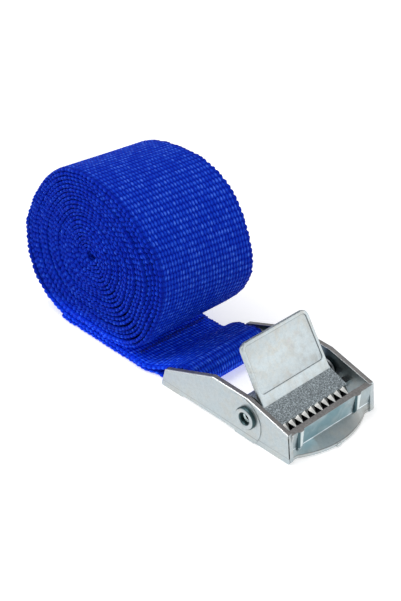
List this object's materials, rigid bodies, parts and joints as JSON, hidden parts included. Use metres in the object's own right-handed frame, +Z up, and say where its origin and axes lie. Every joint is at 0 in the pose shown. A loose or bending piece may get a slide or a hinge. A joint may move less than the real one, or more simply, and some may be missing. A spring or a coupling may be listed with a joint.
{
  "type": "cam buckle lashing strap",
  "caption": "Lashing strap with a sprung cam buckle at one end, its flat blue webbing rolled up behind the buckle.",
  "frame": {"origin": "middle of the object's footprint, on the surface it lies on", "axes": "+X along the strap from the roll towards the buckle's mouth, +Y across the webbing towards the end of the pin with the spring, +Z up"},
  "size_m": [0.0979, 0.0318, 0.0492],
  "materials": {
    "zinc": "bright zinc plate, satin",
    "cam_zinc": "bright zinc plate on a rough casting",
    "spring_steel": "drawn wire",
    "webbing": "ribbed polyester webbing, semi-gloss yarn",
    "thread": "polyester sewing thread"
  },
  "bodies": {
    "buckle": {"buckle_frame": "zinc", "pivot_pin": "zinc", "return_spring": "spring_steel"},
    "lever": {"cam_lever": "cam_zinc"},
    "strap": {"webbing_sewn_end": "webbing", "webbing_roll": "webbing", "seam_front": "thread", "seam_rear": "thread"}
  },
  "joints": [
    {"name": "lever_hinge", "type": "hinge", "parent": "buckle", "child": "lever", "pos_m": [0.03215, 0, 0.00645], "axis": [0, -1, 0], "range_deg": [0, 55], "stiffness_Nm_per_rad": 0.05, "springref_deg": -28.65, "deforming": ["return_spring"]},
    {"name": "strap_swing", "type": "hinge", "parent": "buckle", "child": "strap", "pos_m": [0.00935, 0, 0.0039], "axis": [0, 1, 0], "range_deg": [0, 35]}
  ]
}
